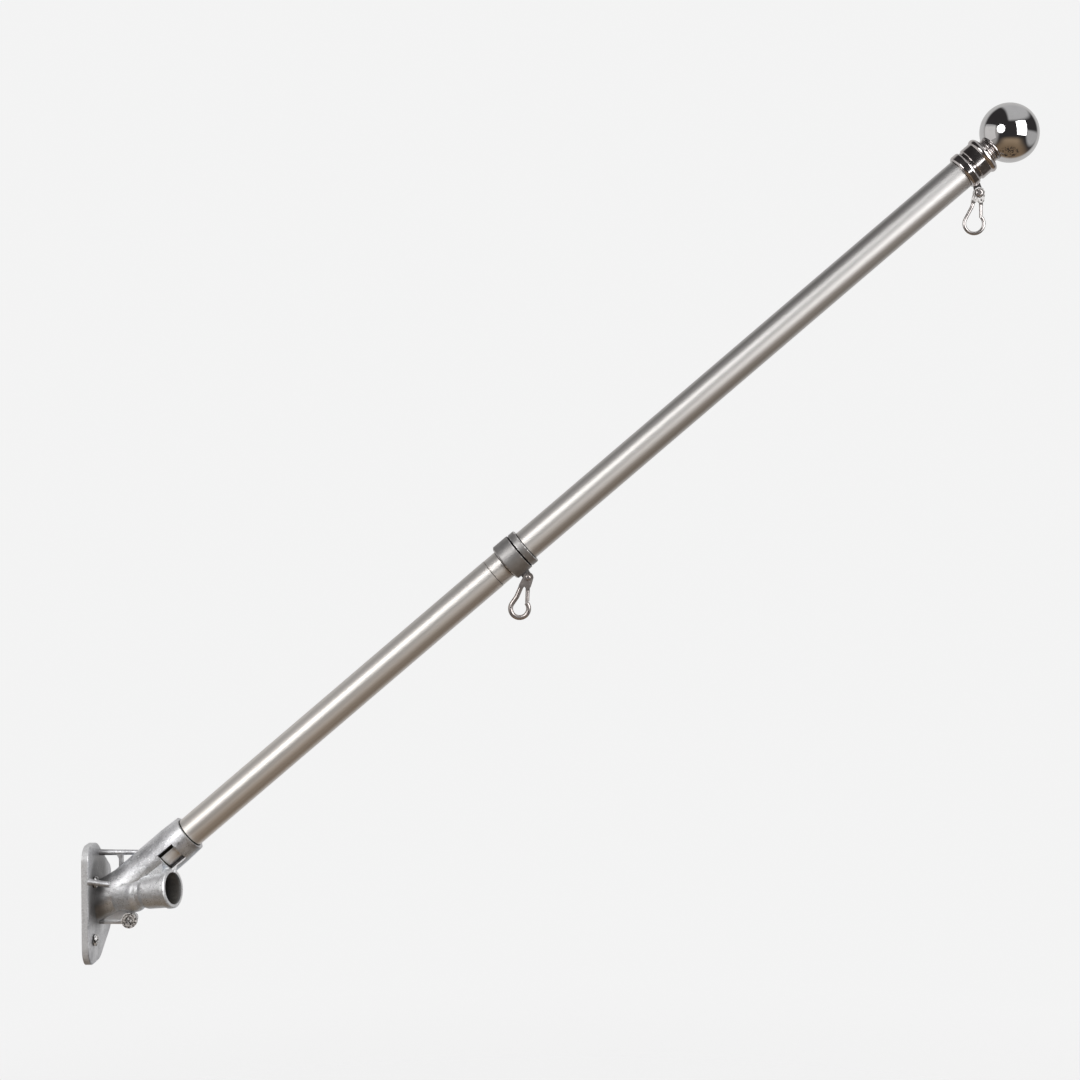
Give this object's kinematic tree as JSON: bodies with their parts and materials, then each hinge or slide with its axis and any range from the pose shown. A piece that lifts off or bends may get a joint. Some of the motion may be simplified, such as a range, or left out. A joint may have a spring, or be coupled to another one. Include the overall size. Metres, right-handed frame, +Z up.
{
  "type": "wall-mounted flagpole",
  "caption": "Jointed tube flagpole with a ball finial, turning hook rings and snap hooks, held at a slant in a cast wall bracket with a spare low socket.",
  "frame": {"origin": "on the flat back face of the bracket plate, near its middle, where it meets the wall", "axes": "+X out from the wall, +Z up, the pole rises in the XZ plane, -Y towards the side that the second socket turns to"},
  "size_m": [0.7706, 0.0776, 0.6971],
  "materials": {
    "cast_aluminium": "satin bead-blasted casting",
    "zinc_screw": "bright zinc",
    "anodised_tube": "satin anodised",
    "grey_collar": "satin grey",
    "finial_chrome": "polished",
    "hook_nickel": "polished nickel"
  },
  "bodies": {
    "mast": {"wall_bracket": "cast_aluminium", "wall_screw_1": "zinc_screw", "wall_screw_2": "zinc_screw", "wall_screw_3": "zinc_screw", "lower_tube": "anodised_tube", "tube_ferrule": "anodised_tube", "joint_spigot": "anodised_tube", "stop_ring": "grey_collar", "upper_tube": "anodised_tube", "finial_base": "finial_chrome", "finial_ball": "finial_chrome"},
    "clamp_screw": {"thumb_screw": "zinc_screw"},
    "mid_collar": {"spin_collar": "grey_collar", "lower_rivet": "hook_nickel"},
    "mid_hook": {"lower_hook": "hook_nickel", "lower_gate_pin": "hook_nickel"},
    "mid_gate": {"lower_gate": "hook_nickel"},
    "top_ring": {"finial_ring": "finial_chrome", "upper_rivet": "finial_chrome"},
    "top_hook": {"upper_hook": "finial_chrome", "upper_gate_pin": "finial_chrome"},
    "top_gate": {"upper_gate": "finial_chrome"}
  },
  "joints": [
    {"name": "clamp_screw_turn", "type": "hinge", "parent": "mast", "child": "clamp_screw", "pos_m": [0.0313, 0, -0.0128], "axis": [0, -1, 0], "continuous": true},
    {"name": "mid_collar_spin", "type": "hinge", "parent": "mast", "child": "mid_collar", "pos_m": [0.34109, 0, 0.28089], "axis": [0.7604, 0, 0.6494], "continuous": true},
    {"name": "mid_hook_swing", "type": "hinge", "parent": "mid_collar", "child": "mid_hook", "pos_m": [0.35429, 0, 0.26467], "axis": [0, 1, 0], "range_deg": [-100, 15]},
    {"name": "mid_gate_open", "type": "hinge", "parent": "mid_hook", "child": "mid_gate", "pos_m": [0.35398, 0, 0.25807], "axis": [0, 1, 0], "range_deg": [0, 24], "stiffness_Nm_per_rad": 0.02, "springref_deg": -20.05},
    {"name": "top_ring_spin", "type": "hinge", "parent": "mast", "child": "top_ring", "pos_m": [0.71004, 0, 0.596], "axis": [0.7604, 0, 0.6494], "continuous": true},
    {"name": "top_hook_swing", "type": "hinge", "parent": "top_ring", "child": "top_hook", "pos_m": [0.72129, 0, 0.5776], "axis": [0, 1, 0], "range_deg": [-100, 15]},
    {"name": "top_gate_open", "type": "hinge", "parent": "top_hook", "child": "top_gate", "pos_m": [0.72289, 0, 0.5717], "axis": [0, 1, 0], "range_deg": [0, 24], "stiffness_Nm_per_rad": 0.02, "springref_deg": -20.05}
  ]
}
